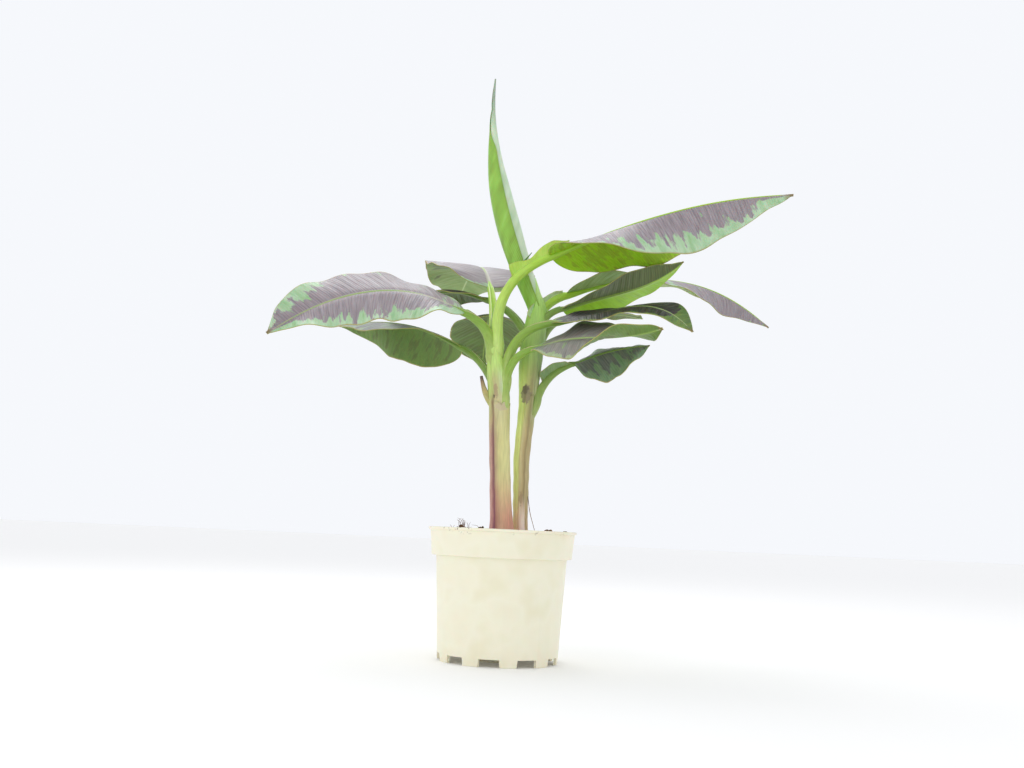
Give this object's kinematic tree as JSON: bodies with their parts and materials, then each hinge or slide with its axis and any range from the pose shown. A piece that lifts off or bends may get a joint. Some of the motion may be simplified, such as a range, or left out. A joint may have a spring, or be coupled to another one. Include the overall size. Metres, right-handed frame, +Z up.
{
  "type": "potted banana plant",
  "caption": "Young banana plant with two leafy stems, mottled green and maroon leaves and one leaf still rolled, in a round cream plastic nursery pot.",
  "frame": {"origin": "centre of the underside of the pot, on the surface that it stands on", "axes": "+Z up the plant, +X to the right along the spread of the leaves, +Y away from the front"},
  "size_m": [0.6695, 0.445, 0.7769],
  "materials": {
    "pot_plastic": "cream injection-moulded polypropylene, satin",
    "compost": "moist fibrous potting compost",
    "stem_skin": "smooth leaf sheaths, yellow-green streaked with maroon",
    "leaf_stalk": "smooth waxy green stalk",
    "leaf_blade": "satin leaf, green blotched with maroon",
    "new_leaf": "smooth bright green young leaf",
    "dried_leaf": "dry brown papery leaf base"
  },
  "bodies": {
    "root": {"blade_arching_right": "leaf_blade", "blade_back_left": "leaf_blade", "blade_back_right": "leaf_blade", "blade_behind": "leaf_blade", "blade_broad_left": "leaf_blade", "blade_dark_right": "leaf_blade", "blade_high_right": "leaf_blade", "blade_lifted_right": "leaf_blade", "blade_low_behind": "leaf_blade", "blade_low_left": "leaf_blade", "blade_rolled": "new_leaf", "blade_spear": "new_leaf", "blade_torn_right": "leaf_blade", "blade_twisted_right": "leaf_blade", "pot": "pot_plastic", "soil": "compost", "stalk_arching_right": "leaf_stalk", "stalk_back_left": "leaf_stalk", "stalk_back_right": "leaf_stalk", "stalk_behind": "leaf_stalk", "stalk_broad_left": "leaf_stalk", "stalk_dark_right": "leaf_stalk", "stalk_dead": "dried_leaf", "stalk_high_right": "leaf_stalk", "stalk_lifted_right": "leaf_stalk", "stalk_low_behind": "leaf_stalk", "stalk_low_left": "leaf_stalk", "stalk_torn_right": "leaf_stalk", "stalk_twisted_right": "leaf_stalk", "stem_slim": "stem_skin", "stem_tall": "stem_skin"}
  },
  "joints": []
}
